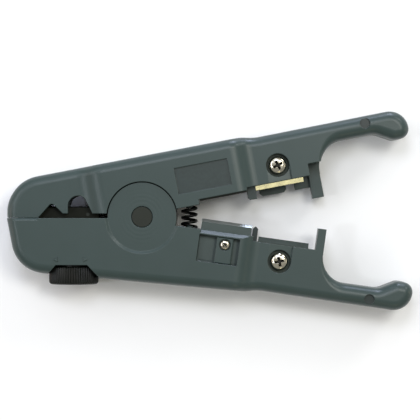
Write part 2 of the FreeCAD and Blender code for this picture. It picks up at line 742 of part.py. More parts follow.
def bar_along(arm, u, length, section):
    """A bar along the arm whose cross section is given by its corners in w and z."""
    corners = [arm.at(u, w, z) for w, z in section]
    face = Part.Face(Part.makePolygon(corners + corners[:1]))
    return face.extrude(arm.at(u + length, 0) - arm.at(u, 0))


def blade(arm, u, length, w_edge, height, top_z, thickness, bevel):
    """A blade plate with its front ground to an edge at w_edge."""
    section = [(w_edge, top_z - thickness), (w_edge + bevel, top_z),
               (w_edge + height, top_z), (w_edge + height, top_z - thickness)]
    return bar_along(arm, u, length, section)


def seat_bevel():
    """The sloping front edge of the lower handle between the cutter blade and its window."""
    section = [(LOWER_SEAT_W, BODY_THICKNESS - LOWER_SEAT_BEVEL_Z), (LOWER_SEAT_W, BODY_THICKNESS),
               (LOWER_SEAT_W + LOWER_SEAT_BEVEL_W, BODY_THICKNESS)]
    return bar_along(LOWER, CUTTER_START_U, CUTTER_LENGTH, section)


def flat_blade(arm, u, length, w_edge, screw_u, screw_w):
    """One of the two blades that slit the jacket of flat cable."""
    plate = blade(arm, u, length, w_edge, FLAT_BLADE_HEIGHT, FLAT_BLADE_TOP_Z, FLAT_BLADE_THICKNESS,
                  FLAT_BLADE_BEVEL)
    return plate.cut(arm.rod(screw_u, screw_w, FLAT_BLADE_HOLE_R, 0, BODY_THICKNESS))


def pan_screw(seat, shank_r, shank_length, head_r, head_height, dome, cross):
    """A pan-head screw that stands on its seat point, with a cross recess in its head."""
    edge_z = head_height - dome
    dome_r = (head_r ** 2 + dome ** 2) / (2 * dome)
    half_way = math.asin(head_r / dome_r) / 2
    middle = Vector(dome_r * math.sin(half_way), 0, head_height - dome_r * (1 - math.cos(half_way)))
    crown = Part.Arc(Vector(head_r, 0, edge_z), middle, Vector(0, 0, head_height))
    points = [Vector(0, 0, head_height), Vector(0, 0, -shank_length), Vector(shank_r, 0, -shank_length),
              Vector(shank_r, 0, 0), Vector(head_r, 0, 0), Vector(head_r, 0, edge_z)]
    lines = [Part.LineSegment(a, b).toShape() for a, b in zip(points, points[1:])]
    section = Part.Face(Part.Wire(lines + [crown.toShape()]))
    screw = section.revolve(Vector(0, 0, 0), Vector(0, 0, 1), FULL_TURN)
    length, width, depth = cross
    low = Vector(-length / 2, -width / 2, head_height - depth)
    bar = Part.makeBox(length, width, depth + dome, low)
    other = bar.copy()
    other.rotate(Vector(0, 0, 0), Vector(0, 0, 1), RIGHT_ANGLE)
    screw = screw.cut([bar, other])
    screw.translate(seat)
    return screw


def cutter_clamp():
    """The block in the window that presses the cutter blade down under its screw."""
    end = CLAMP_START_U + CLAMP_WIDTH
    top = BODY_THICKNESS - CLAMP_SINK
    block = LOWER.block(CLAMP_START_U, end, WINDOW_TOP_W + FIT_GAP, WINDOW_BASE_W - FIT_GAP,
                        CUTTER_TOP_Z, top)
    rim = [edge for edge in block.Edges if edge.BoundBox.ZMin > top - TOUCH]
    block = block.makeChamfer(CLAMP_CHAMFER, rim)
    sink = LOWER.rod(CUTTER_SCREW_U, CUTTER_SCREW_W, CUTTER_SCREW_HEAD_R + MOVING_GAP,
                     top - CUTTER_SCREW_HEAD_HEIGHT, top)
    hole = LOWER.rod(CUTTER_SCREW_U, CUTTER_SCREW_W, CUTTER_SCREW_R + FIT_GAP, 0, top)
    return block.cut([sink, hole])


def retaining_clip(outer_r, groove_r, thickness):
    """A flat ring with one side open, which snaps into a groove."""
    ring = Part.makeCylinder(outer_r, thickness)
    mouth = Part.makeBox(outer_r, 2 * groove_r, thickness, Vector(0, -groove_r, 0))
    return ring.cut([Part.makeCylinder(groove_r, thickness), mouth])


def pivot_pin():
    """The pin through ears and hub, with a flat head in front and a clip groove behind."""
    tail = EAR_SINK + PIN_END_SINK
    neck = EAR_TOP_Z - PIN_HEAD_HEIGHT
    pin = round_bar(PIN_R, tail, neck).fuse(round_bar(PIN_HEAD_R, neck, EAR_TOP_Z)).removeSplitter()
    groove_top = EAR_SINK + PIN_BACK_SINK
    groove_low = groove_top - PIN_CLIP_THICKNESS
    groove = round_bar(PIN_R + PIN_CLEARANCE, groove_low, groove_top)
    return pin.cut(groove.cut(round_bar(PIN_GROOVE_R, groove_low, groove_top)))


def pivot_clip():
    """The clip that holds the pin at the back."""
    clip = retaining_clip(PIN_CLIP_R, PIN_GROOVE_R, PIN_CLIP_THICKNESS)
    clip.translate(Vector(0, 0, EAR_SINK + PIN_BACK_SINK - PIN_CLIP_THICKNESS))
    return clip


def pivot_washer(z_low):
    """A thin washer between an ear and the hub."""
    high = z_low + WASHER_THICKNESS
    return round_bar(WASHER_R, z_low, high).cut(round_bar(PIN_R + PIN_CLEARANCE, z_low, high))


def handle_spring():
    """The round-wire coil that pushes the arms apart."""
    height = SPRING_HIGH_Y - SPRING_LOW_Y - 2 * SPRING_WIRE_R
    coil_r = SPRING_R - SPRING_WIRE_R
    helix = Part.makeHelix(height / SPRING_TURNS, height, coil_r)
    section = Part.Wire(Part.makeCircle(SPRING_WIRE_R, Vector(coil_r, 0, 0), Vector(0, 1, 0)))
    coil = Part.Wire(helix).makePipeShell([section], True, True)
    coil.rotate(Vector(0, 0, 0), Vector(1, 0, 0), -RIGHT_ANGLE)
    coil.translate(Vector(SPRING_X, SPRING_LOW_Y + SPRING_WIRE_R, MIDDLE_Z))
    return coil


def turned_y(shape, x, y):
    """Stand a shape that was made along Z on a vertical axis at x, starting at y."""
    shape.rotate(Vector(0, 0, 0), Vector(1, 0, 0), -RIGHT_ANGLE)
    shape.translate(Vector(x, y, MIDDLE_Z))
    return shape


def rib_ring(radius, z):
    """The star-shaped outline of the knob's ribs at one height."""
    points = []
    for index in range(2 * KNOB_RIBS):
        turn = math.pi * index / KNOB_RIBS
        reach = radius - KNOB_RIB_DEPTH * (index % 2)
        points.append(Vector(reach * math.cos(turn), reach * math.sin(turn), z))
    return Part.makePolygon(points + points[:1])


def adjuster_knob():
    """The ribbed thumbwheel, rounded below, with a boss that runs against the pocket's roof."""
    round_steps = [KNOB_ROUND * (1 - math.cos(math.radians(angle))) for angle in KNOB_ROUND_ANGLES]
    levels = [KNOB_ROUND * (1 - math.sin(math.radians(angle))) for angle in KNOB_ROUND_ANGLES]
    rings = [rib_ring(KNOB_R - step, level) for step, level in zip(round_steps, levels)]
    rings.append(rib_ring(KNOB_R, KNOB_HEIGHT))
    knob = Part.makeLoft(rings, True, True)
    boss = Part.makeCylinder(KNOB_BOSS_R, KNOB_HEADROOM - FIT_GAP, Vector(0, 0, KNOB_HEIGHT))
    press = Part.makeCylinder(SPINDLE_R, KNOB_HEIGHT, Vector(0, 0, KNOB_HEIGHT - SPINDLE_PRESS_DEPTH))
    return turned_y(knob.fuse(boss).cut(press), KNOB_X, KNOB_TOP_Y - KNOB_HEIGHT)


def adjuster_screw():
    """The spindle that turns with the knob and lifts the carrier."""
    low = KNOB_TOP_Y - SPINDLE_PRESS_DEPTH
    groove_low = CHANNEL_FLOOR_Y + CLIP_LIFT
    groove_high = groove_low + CLIP_THICKNESS
    spindle = rod_y(KNOB_X, MIDDLE_Z, SPINDLE_R, low, SPINDLE_TOP_Y)
    groove = rod_y(KNOB_X, MIDDLE_Z, SPINDLE_R, groove_low, groove_high)
    return spindle.cut(groove.cut(rod_y(KNOB_X, MIDDLE_Z, CLIP_GROOVE_R, groove_low, groove_high)))


def adjuster_clip():
    """The clip that keeps the spindle from dropping out of the jaw."""
    clip = retaining_clip(CLIP_R, CLIP_GROOVE_R, CLIP_THICKNESS)
    return turned_y(clip, KNOB_X, CHANNEL_FLOOR_Y + CLIP_LIFT)


def round_blade():
    """The small blade across the jaw that slits round cable."""
    top = CARRIER_TOP_Y + ROUND_BLADE_PROUD
    low = top - ROUND_BLADE_HEIGHT
    half = ROUND_BLADE_THICKNESS / 2
    section = [(low, MIDDLE_Z - half), (top - ROUND_BLADE_BEVEL, MIDDLE_Z - half), (top, MIDDLE_Z),
               (top - ROUND_BLADE_BEVEL, MIDDLE_Z + half), (low, MIDDLE_Z + half)]
    corners = [Vector(ROUND_BLADE_LEFT_X, y, z) for y, z in section]
    face = Part.Face(Part.makePolygon(corners + corners[:1]))
    plate = face.extrude(Vector(ROUND_BLADE_LENGTH, 0, 0))
    return plate.cut(blade_pin_bar())


def blade_pin_bar():
    """The cross pin's own form, also cut from what it passes through."""
    half = CHANNEL_WIDTH / 2 - SLIDE_GAP
    return Part.makeCylinder(BLADE_PIN_R, 2 * half, Vector(BLADE_PIN_X, BLADE_PIN_Y, MIDDLE_Z - half))


def blade_carrier():
    """The block that carries the round blade up and down in the jaw."""
    half = CHANNEL_WIDTH / 2 - SLIDE_GAP
    low = CARRIER_TOP_Y - CARRIER_HEIGHT
    block = box(CHANNEL_LEFT_X + MOVING_GAP, CHANNEL_RIGHT_X - MOVING_GAP, low, CARRIER_TOP_Y,
                MIDDLE_Z - half, MIDDLE_Z + half)
    bore_top = SPINDLE_TOP_Y + CARRIER_DROP + MOVING_GAP
    blade_half = ROUND_BLADE_THICKNESS / 2
    blade_low = CARRIER_TOP_Y + ROUND_BLADE_PROUD - ROUND_BLADE_HEIGHT
    slot = box(ROUND_BLADE_LEFT_X, ROUND_BLADE_LEFT_X + ROUND_BLADE_LENGTH, blade_low, BEYOND,
               MIDDLE_Z - blade_half, MIDDLE_Z + blade_half)
    bore = rod_y(KNOB_X, MIDDLE_Z, SPINDLE_R + SPINDLE_CLEARANCE, low, bore_top)
    return block.cut([slot, bore, blade_pin_bar()])


def build_parts():
    """Every piece of the tool by name, drawn about the pivot axis."""
    big_cross = (CROSS_LENGTH, CROSS_WIDTH, CROSS_DEPTH)
    small_cross = tuple(size * CUTTER_SCREW_HEAD_R / SCREW_HEAD_R for size in big_cross)
    clamp_top = BODY_THICKNESS - CLAMP_SINK
    head_seat = clamp_top - CUTTER_SCREW_HEAD_HEIGHT
    small_shank = head_seat - CUTTER_TOP_Z + CUTTER_SCREW_DEPTH - SLIDE_GAP
    big_head = (SCREW_R, SCREW_DEPTH, SCREW_HEAD_R, SCREW_HEAD_HEIGHT, SCREW_HEAD_DOME, big_cross)
    small_head = (CUTTER_SCREW_R, small_shank, CUTTER_SCREW_HEAD_R, CUTTER_SCREW_HEAD_HEIGHT,
                  SCREW_HEAD_DOME / 2, small_cross)
    cutter = blade(LOWER, CUTTER_START_U, CUTTER_LENGTH, CUTTER_EDGE_W, CUTTER_HEIGHT, CUTTER_TOP_Z,
                   CUTTER_THICKNESS, CUTTER_BEVEL)
    cutter_hole = LOWER.rod(CUTTER_SCREW_U, CUTTER_SCREW_W, CUTTER_SCREW_R + FIT_GAP, 0, BODY_THICKNESS)
    return {
        "lower_handle": lower_handle(),
        "upper_handle": upper_handle(),
        "pivot_pin": pivot_pin(),
        "pivot_clip": pivot_clip(),
        "pivot_washer_back": pivot_washer(SLOT_LOW_Z),
        "pivot_washer_front": pivot_washer(SLOT_TOP_Z - WASHER_THICKNESS),
        "handle_spring": handle_spring(),
        "cutter_blade": cutter.cut(cutter_hole),
        "cutter_clamp": cutter_clamp(),
        "cutter_screw": pan_screw(LOWER.at(CUTTER_SCREW_U, CUTTER_SCREW_W, head_seat), *small_head),
        "cutter_anvil": anvil_block(0, 0),
        "upper_flat_blade": flat_blade(UPPER, UPPER_BLADE_U, UPPER_BLADE_LENGTH, UPPER_BLADE_EDGE_W,
                                       UPPER_SCREW_U, UPPER_SCREW_W),
        "upper_blade_screw": pan_screw(UPPER.at(UPPER_SCREW_U, UPPER_SCREW_W, FLAT_BLADE_TOP_Z), *big_head),
        "lower_flat_blade": flat_blade(LOWER, LOWER_BLADE_U, LOWER_BLADE_LENGTH, LOWER_BLADE_EDGE_W,
                                       LOWER_SCREW_U, LOWER_SCREW_W),
        "lower_blade_screw": pan_screw(LOWER.at(LOWER_SCREW_U, LOWER_SCREW_W, FLAT_BLADE_TOP_Z), *big_head),
        "adjuster_knob": adjuster_knob(),
        "adjuster_screw": adjuster_screw(),
        "adjuster_clip": adjuster_clip(),
        "blade_carrier": blade_carrier(),
        "round_blade": round_blade(),
        "round_blade_pin": blade_pin_bar(),
    }


def main():
    """Build every piece, centre the tool over its footprint and write the files."""
    parts = build_parts()
    points = [point for shape in parts.values() for point in shape.tessellate(MEASURE_STEP)[0]]
    xs = [point.x for point in points]
    ys = [point.y for point in points]
    shift = Vector(-(min(xs) + max(xs)) / 2, -(min(ys) + max(ys)) / 2, -min(point.z for point in points))
    print("pivot axis at", round(shift.x, 3), round(shift.y, 3), "raised by", round(shift.z, 3))
    os.makedirs("parts", exist_ok=True)
    for name, shape in parts.items():
        shape.translate(shift)
        shape.exportStep("parts/" + name + ".step")
        print(name, len(shape.Solids), shape.isValid(), round(shape.Volume, 1))


main()
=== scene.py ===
"""Studio picture of a cable stripper that lies flat on its back.

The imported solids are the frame. This script gives each of them its finish and replaces the
return spring, the thumbwheel and the screws by finer ones. Sizes are millimetres about the
pivot, and are turned to metres in the row's frame on the way into Blender. The studio's
sizes are metres.
"""
import logging
import math
from dataclasses import dataclass, field
from enum import Enum
from typing import Any, Dict, List, Optional, Sequence, Tuple

import bpy
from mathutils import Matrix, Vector


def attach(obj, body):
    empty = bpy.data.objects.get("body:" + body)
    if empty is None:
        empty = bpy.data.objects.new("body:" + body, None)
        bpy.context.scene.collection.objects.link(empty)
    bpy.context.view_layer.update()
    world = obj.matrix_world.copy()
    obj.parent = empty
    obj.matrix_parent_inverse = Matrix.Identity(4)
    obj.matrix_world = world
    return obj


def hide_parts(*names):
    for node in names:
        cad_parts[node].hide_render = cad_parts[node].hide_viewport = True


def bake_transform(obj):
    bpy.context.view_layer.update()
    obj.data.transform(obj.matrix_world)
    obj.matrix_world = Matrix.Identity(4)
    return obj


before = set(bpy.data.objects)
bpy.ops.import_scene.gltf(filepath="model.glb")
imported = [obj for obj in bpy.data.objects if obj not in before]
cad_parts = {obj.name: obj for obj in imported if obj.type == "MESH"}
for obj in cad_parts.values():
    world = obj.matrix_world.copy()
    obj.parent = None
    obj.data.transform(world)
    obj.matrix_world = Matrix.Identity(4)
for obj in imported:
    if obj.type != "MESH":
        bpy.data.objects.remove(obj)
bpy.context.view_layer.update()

LOG = logging.getLogger("cable_stripper")

MM = 0.001
FULL_TURN = 2 * math.pi
QUARTER_TURN = math.pi / 2
# The pivot's axis in the row's frame
PIVOT_X = -21.696
PIVOT_Y = -1.958
BODY_TOP_Z = 19.0
MIDDLE_Z = BODY_TOP_Z / 2
# Points closer than this are one point
MERGE_MM = 0.0005


class Side(Enum):
    """The two handles, each with the angle of its arm and the way outwards from it."""

    UPPER = (10.8, 1.0)
    LOWER = (-8.0, -1.0)


class Body(Enum):
    """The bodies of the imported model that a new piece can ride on."""

    LOWER = "lower"
    UPPER = "upper"
    KNOB = "knob"


def row_point(x: float, y: float, z: float) -> Vector:
    """Turn a point about the pivot into the row's frame.

    Args:
        x: millimetres from the pivot axis towards the arms.
        y: millimetres from the pivot axis towards the upper handle.
        z: millimetres above the back.

    Returns:
        The point in metres.
    """
    return Vector(((x + PIVOT_X) * MM, (y + PIVOT_Y) * MM, z * MM))


def arm_point(side: Side, u: float, w: float, z: float) -> Vector:
    """Find a point given along and out from one arm.

    Args:
        side: the handle whose arm it is.
        u: millimetres from the pivot along the arm.
        w: millimetres outwards from the line where the handles meet.
        z: millimetres above the back.

    Returns:
        The point in metres, in the row's frame.
    """
    angle, outwards = side.value
    along = math.radians(angle)
    v = outwards * w
    x = u * math.cos(along) - v * math.sin(along)
    y = u * math.sin(along) + v * math.cos(along)
    return row_point(x, y, z)


def srgb(hex_colour: str) -> Tuple[float, float, float, float]:
    """Turn an sRGB hex colour into linear values, by the standard's own curve.

    Args:
        hex_colour: such as "#4A5655".

    Returns:
        Linear red, green, blue and an alpha of one.
    """
    values = [int(hex_colour[i:i + 2], 16) / 255 for i in (1, 3, 5)]
    linear = [v / 12.92 if v <= 0.04045 else ((v + 0.055) / 1.055) ** 2.4 for v in values]
    return (linear[0], linear[1], linear[2], 1.0)


def add_node(tree: bpy.types.NodeTree, kind: str, settings: Optional[Dict[str, Any]] = None,
             values: Optional[Dict[Any, Any]] = None,
             links: Optional[Dict[Any, bpy.types.NodeSocket]] = None) -> bpy.types.Node:
    """Add a node with its settings and links.

    Args:
        tree: the node tree that gets it.
        kind: the node's type name.
        settings: properties of the node.
        values: constants for its sockets, by name or number.
        links: sockets of other nodes that feed its sockets.

    Returns:
        The new node.
    """
    node = tree.nodes.new(kind)
    for key, value in (settings or {}).items():
        setattr(node, key, value)
    for key, value in (values or {}).items():
        node.inputs[key].default_value = value
    for key, socket in (links or {}).items():
        tree.links.new(socket, node.inputs[key])
    return node


def new_material(name: str) -> Tuple[bpy.types.Material, bpy.types.NodeTree]:
    """Make an empty node material.

    Args:
        name: the material's name.

    Returns:
        The material and its cleared node tree.
    """
    material = bpy.data.materials.new(name)
    material.use_nodes = True
    material.node_tree.nodes.clear()
    return material, material.node_tree


@dataclass(frozen=True)
class MouldedPlastic:
    """Injection-moulded plastic: an even colour with a faint cloud in it, a fine grain from the
    mould's spark erosion that softens every highlight, and edges that the mould leaves slightly
    round.

    The mould's real grain is a few hundredths of a millimetre wide, and the rings of its turning
    are about a tenth of one apart. Both are too fine to show, so they are drawn about ten times as
    coarse. Flat faces at listed heights, the floors of recesses and low tabs, get painted shade in
    blotches.

    Attributes:
        name: the plastic and how it was made.
        colour: its main colour.
        cloud: the colour that it drifts towards.
        roughness: how dull its skin is.
        gloss: strength of its reflections.
        ior: its refractive index.
        cloud_mm: width of a cloud.
        grain_mm: width of the grain of the mould's skin.
        grain_depth_mm: how deep that grain is.
        grain_share: how much of the grain shows.
        dull_spread: how far the grain moves the roughness either way.
        edge_mm: how round its edges are.
        painted_shade_floors: height in millimetres and share of painted shade on the flat faces
            that lie there, the floors of recesses and low tabs where shade falls.
        painted_shade_colour: the colour of those places.
        painted_shade_spread: how far their darkening varies either way.
        shade_blotch_mm: width of the blotches in that painted shade.
        ring_mm: distance between the turning rings that the mould's round insert left, or None.
        ring_depth_mm: how deep those rings are.
        ring_fade_mm: distances from the pivot between which the rings fade out.
    """

    name: str
    colour: str
    cloud: str
    roughness: float = 0.36
    gloss: float = 0.37
    ior: float = 1.53
    cloud_mm: float = 9.0
    grain_mm: float = 0.45
    grain_depth_mm: float = 0.012
    grain_share: float = 0.6
    dull_spread: float = 0.06
    edge_mm: float = 0.3
    # Painted shade: flat faces at these heights are drawn darker, for the shade in recesses and on
    # low tabs
    painted_shade_floors: Tuple[Tuple[float, float], ...] = ()
    painted_shade_colour: str = "#1E2524"
    painted_shade_spread: float = 0.25
    shade_blotch_mm: float = 0.9
    ring_mm: Optional[float] = None
    ring_depth_mm: float = 0.004
    ring_fade_mm: Tuple[float, float] = (6.0, 10.0)

    def build(self) -> bpy.types.Material:
        """Build the material.

        Returns:
            The finished material.
        """
        material, tree = new_material(self.name)
        place = add_node(tree, "ShaderNodeTexCoord").outputs["Object"]
        clouds = add_node(tree, "ShaderNodeTexNoise",
                          values={"Scale": 1 / (self.cloud_mm * MM), "Detail": 3.0},
                          links={"Vector": place})
        tint = add_node(tree, "ShaderNodeMix", {"data_type": "RGBA"},
                        {6: srgb(self.colour), 7: srgb(self.cloud)}, {0: clouds.outputs["Fac"]})
        colour = tint.outputs[2]
        # Paint shade on the flat floors at the listed heights
        for height, darkening in self.painted_shade_floors:
            colour = self.paint_floor_shade(tree, place, colour, height, darkening)
        grain = add_node(tree, "ShaderNodeTexNoise",
                         values={"Scale": 1 / (self.grain_mm * MM), "Detail": 2.0},
                         links={"Vector": place})
        dull = add_node(tree, "ShaderNodeMapRange",
                        values={"To Min": self.roughness - self.dull_spread,
                                "To Max": self.roughness + self.dull_spread},
                        links={"Value": grain.outputs["Fac"]})
        edges = add_node(tree, "ShaderNodeBevel", {"samples": 6}, {"Radius": self.edge_mm * MM})
        skin = add_node(tree, "ShaderNodeBump",
                        values={"Strength": self.grain_share,
                                "Distance": self.grain_depth_mm * MM},
                        links={"Height": grain.outputs["Fac"],
                               "Normal": edges.outputs["Normal"]})
        normal = skin.outputs["Normal"]
        if self.ring_mm:
            normal = self.turned_rings(tree, place, normal)
        shader = add_node(tree, "ShaderNodeBsdfPrincipled",
                          values={"IOR": self.ior, "Specular IOR Level": self.gloss},
                          links={"Base Color": colour, "Roughness": dull.outputs["Result"],
                                 "Normal": normal})
        add_node(tree, "ShaderNodeOutputMaterial", links={"Surface": shader.outputs["BSDF"]})
        return material

    def paint_floor_shade(self, tree: bpy.types.NodeTree, place: bpy.types.NodeSocket,
                       colour: bpy.types.NodeSocket, height: float,
                       darkening: float) -> bpy.types.NodeSocket:
        """Paint shade on the flat faces that lie at one height.

        Args:
            tree: the material's nodes.
            place: Object coordinates.
            colour: the plastic's colour so far.
            height: height of those faces in millimetres.
            darkening: share of the dark colour there, on average.

        Returns:
            The colour with its painted shade.
        """
        level_play_mm = 0.05
        flat_from = 0.99
        spot = add_node(tree, "ShaderNodeSeparateXYZ", links={0: place})
        level = add_node(tree, "ShaderNodeMath", {"operation": "COMPARE"},
                         {1: height * MM, 2: level_play_mm * MM}, {0: spot.outputs["Z"]})
        facing = add_node(tree, "ShaderNodeNewGeometry")
        parts = add_node(tree, "ShaderNodeSeparateXYZ", links={0: facing.outputs["True Normal"]})
        flat = add_node(tree, "ShaderNodeMath", {"operation": "GREATER_THAN"}, {1: flat_from},
                        {0: parts.outputs["Z"]})
        both = add_node(tree, "ShaderNodeMath", {"operation": "MULTIPLY"},
                        links={0: level.outputs["Value"], 1: flat.outputs["Value"]})
        shade_blotches = add_node(tree, "ShaderNodeTexNoise",
                        values={"Scale": 1 / (self.shade_blotch_mm * MM), "Detail": 3.0},
                        links={"Vector": place})
        share = add_node(tree, "ShaderNodeMapRange",
                         values={"To Min": darkening - self.painted_shade_spread,
                                 "To Max": darkening + self.painted_shade_spread},
                         links={"Value": shade_blotches.outputs["Fac"]})
        amount = add_node(tree, "ShaderNodeMath", {"operation": "MULTIPLY"},
                          links={0: both.outputs["Value"], 1: share.outputs["Result"]})
        darker = add_node(tree, "ShaderNodeMix", {"data_type": "RGBA"},
                          {7: srgb(self.painted_shade_colour)}, {0: amount.outputs["Value"], 6: colour})
        return darker.outputs[2]

    def turned_rings(self, tree: bpy.types.NodeTree, place: bpy.types.NodeSocket,
                     normal: bpy.types.NodeSocket) -> bpy.types.NodeSocket:
        """Lay faint rings round the pivot on the ear's face.

        Args:
            tree: the material's nodes.
            place: Object coordinates.
            normal: the surface's normal so far.

        Returns:
            The normal with the rings in it.
        """
        fade_from, fade_to = self.ring_fade_mm
        centred = add_node(tree, "ShaderNodeMapping", {"vector_type": "TEXTURE"},
                           {"Location": (PIVOT_X * MM, PIVOT_Y * MM, 0.0)}, {"Vector": place})
        spot = add_node(tree, "ShaderNodeSeparateXYZ", links={0: centred.outputs["Vector"]})
        flat_spot = add_node(tree, "ShaderNodeCombineXYZ",
                             links={"X": spot.outputs["X"], "Y": spot.outputs["Y"]})
        reach = add_node(tree, "ShaderNodeVectorMath", {"operation": "LENGTH"},
                         links={0: flat_spot.outputs["Vector"]})
        phase = add_node(tree, "ShaderNodeMath", {"operation": "MULTIPLY"},
                         {1: FULL_TURN / (self.ring_mm * MM)}, {0: reach.outputs["Value"]})
        wave = add_node(tree, "ShaderNodeMath", {"operation": "SINE"},
                        links={0: phase.outputs["Value"]})
        fade = add_node(tree, "ShaderNodeMapRange", {"interpolation_type": "SMOOTHSTEP"},
                        {"From Min": fade_from * MM, "From Max": fade_to * MM,
                         "To Min": 1.0, "To Max": 0.0},
                        {"Value": reach.outputs["Value"]})
        rings = add_node(tree, "ShaderNodeMath", {"operation": "MULTIPLY"},
                         links={0: wave.outputs["Value"], 1: fade.outputs["Result"]})
        turned = add_node(tree, "ShaderNodeBump",
                          values={"Strength": 1.0, "Distance": self.ring_depth_mm * MM},
                          links={"Height": rings.outputs["Value"], "Normal": normal})
        return turned.outputs["Normal"]


@dataclass(frozen=True)
class WorkedMetal:
    """Metal with the fine lines of its grinding, turning or plating.

    Real lines are a few hundredths of a millimetre apart. On screws, pin, clips and wire they
    are too fine to show, so they are drawn as a grain about ten times as coarse. On the ground
    blades they keep their real distance, and show as a blur of what the bevels mirror.

    Attributes:
        name: the metal and how it was worked.
        colour: its reflection colour.
        shade: the colour in its lines and stains.
        roughness: how blurred its reflections are.
        dull_spread: share by which the stains move the roughness either way.
        metallic: one for bare metal, less under a black oxide.
        line_mm: width of the grain, which is the length of a line where it is stretched.
        line_depth_mm: depth of the lines.
        line_share: how much of the lines shows.
        stretch: how many times finer the grain is along the tool than across it.
        turn_deg: angle of the piece from +X, by which the grain is turned.
        stain_mm: width of a stain.
        edge_mm: how round its edges are.
        skin_colour: the dark skin left on flat and on steep faces, if any.
        bared: how far up a face has to look, least and most, to be bared of that skin.
    """

    name: str
    colour: str
    shade: str
    roughness: float = 0.25
    dull_spread: float = 0.3
    metallic: float = 1.0
    line_mm: float = 0.25
    line_depth_mm: float = 0.004
    line_share: float = 0.5
    stretch: float = 1.0
    turn_deg: float = 0.0
    stain_mm: float = 2.5
    edge_mm: float = 0.08
    skin_colour: Optional[str] = None
    bared: Tuple[float, float] = (0.3, 0.99)

    def build(self) -> bpy.types.Material:
        """Build the material.

        Returns:
            The finished material.
        """
        material, tree = new_material(self.name)
        place = add_node(tree, "ShaderNodeTexCoord").outputs["Object"]
        turned = add_node(tree, "ShaderNodeMapping",
                          values={"Rotation": (0.0, 0.0, math.radians(-self.turn_deg)),
                                  "Scale": (self.stretch, 1.0, 1.0)},
                          links={"Vector": place})
        lines = add_node(tree, "ShaderNodeTexNoise",
                         values={"Scale": 1 / (self.line_mm * MM), "Detail": 2.0},
                         links={"Vector": turned.outputs["Vector"]})
        stains = add_node(tree, "ShaderNodeTexNoise",
                          values={"Scale": 1 / (self.stain_mm * MM), "Detail": 4.0},
                          links={"Vector": place})
        mixed = add_node(tree, "ShaderNodeMath", {"operation": "MULTIPLY"},
                         links={0: lines.outputs["Fac"], 1: stains.outputs["Fac"]})
        tint = add_node(tree, "ShaderNodeMix", {"data_type": "RGBA"},
                        {6: srgb(self.colour), 7: srgb(self.shade)}, {0: mixed.outputs["Value"]})
        colour = tint.outputs[2]
        if self.skin_colour:
            colour = self.skinned(tree, colour)
        dull = add_node(tree, "ShaderNodeMapRange",
                        values={"To Min": self.roughness * (1 - self.dull_spread),
                                "To Max": self.roughness * (1 + self.dull_spread)},
                        links={"Value": stains.outputs["Fac"]})
        edges = add_node(tree, "ShaderNodeBevel", {"samples": 4}, {"Radius": self.edge_mm * MM})
        skin = add_node(tree, "ShaderNodeBump",
                        values={"Strength": self.line_share, "Distance": self.line_depth_mm * MM},
                        links={"Height": lines.outputs["Fac"], "Normal": edges.outputs["Normal"]})
        shader = add_node(tree, "ShaderNodeBsdfPrincipled", values={"Metallic": self.metallic},
                          links={"Base Color": colour, "Roughness": dull.outputs["Result"],
                                 "Normal": skin.outputs["Normal"]})
        add_node(tree, "ShaderNodeOutputMaterial", links={"Surface": shader.outputs["BSDF"]})
        return material

    def skinned(self, tree: bpy.types.NodeTree,
                colour: bpy.types.NodeSocket) -> bpy.types.NodeSocket:
        """Leave the dark skin on every face but the ground bevels.

        Args:
            tree: the material's nodes.
            colour: the ground metal's colour.

        Returns:
            The colour with the skin on it.
        """
        least, most = self.bared
        facing = add_node(tree, "ShaderNodeNewGeometry")
        parts = add_node(tree, "ShaderNodeSeparateXYZ", links={0: facing.outputs["True Normal"]})
        ground = add_node(tree, "ShaderNodeMath", {"operation": "COMPARE"},
                          {1: (least + most) / 2, 2: (most - least) / 2},
                          {0: parts.outputs["Z"]})
        mixed = add_node(tree, "ShaderNodeMix", {"data_type": "RGBA"},
                         {6: srgb(self.skin_colour)}, {0: ground.outputs["Value"], 7: colour})
        return mixed.outputs[2]


@dataclass(frozen=True)
class MattCard:
    """Uncoated card under the tool: flat and pale, with no highlight.

    Attributes:
        name: the card and its surface.
        colour: its colour.
        roughness: how dull it is.
        gloss: strength of its reflections.
    """

    name: str
    colour: str
    roughness: float = 0.9
    gloss: float = 0.1

    def build(self) -> bpy.types.Material:
        """Build the material.

        Returns:
            The finished material.
        """
        material, tree = new_material(self.name)
        shader = add_node(tree, "ShaderNodeBsdfPrincipled",
                          values={"Base Color": srgb(self.colour), "Roughness": self.roughness,
                                  "Specular IOR Level": self.gloss})
        add_node(tree, "ShaderNodeOutputMaterial", links={"Surface": shader.outputs["BSDF"]})
        return material


NYLON_COLOURS = ("#313F3C", "#364442")
# Glass-filled nylon, moulded: dull grey-green that turns blue in daylight, with soft highlights
HANDLE_NYLON = MouldedPlastic("glass_filled_nylon_moulded", *NYLON_COLOURS)
# The same nylon where the mould's insert was turned round the pivot: faint rings in the
# highlight, and painted shade on the floor of the dimple and on the small tab
EAR_NYLON = MouldedPlastic("glass_filled_nylon_turned_insert_painted_shade", *NYLON_COLOURS, ring_mm=1.3,
                           painted_shade_floors=((16.1, 0.75), (4.6, 0.5)))
# The same nylon with painted shade on the floors of the panel and of the dimple, and on the
# small tab
PANEL_NYLON = MouldedPlastic("glass_filled_nylon_panel_painted_shade", *NYLON_COLOURS,
                             painted_shade_floors=((18.5, 0.5), (16.1, 0.75), (14.6, 0.45)))
# Acetal, moulded: near black with a slight green, smoother than the handles
BLACK_ACETAL = MouldedPlastic("black_acetal_moulded", "#0C0F0B", "#10130F", roughness=0.4,
                              gloss=0.25, edge_mm=0.15)
# The same acetal, sliding in the jaw: rubbed matt, so that it stays dark in the notches
RUBBED_ACETAL = MouldedPlastic("black_acetal_rubbed", "#14160E", "#191B13", roughness=0.6,
                               gloss=0.12, edge_mm=0.15)
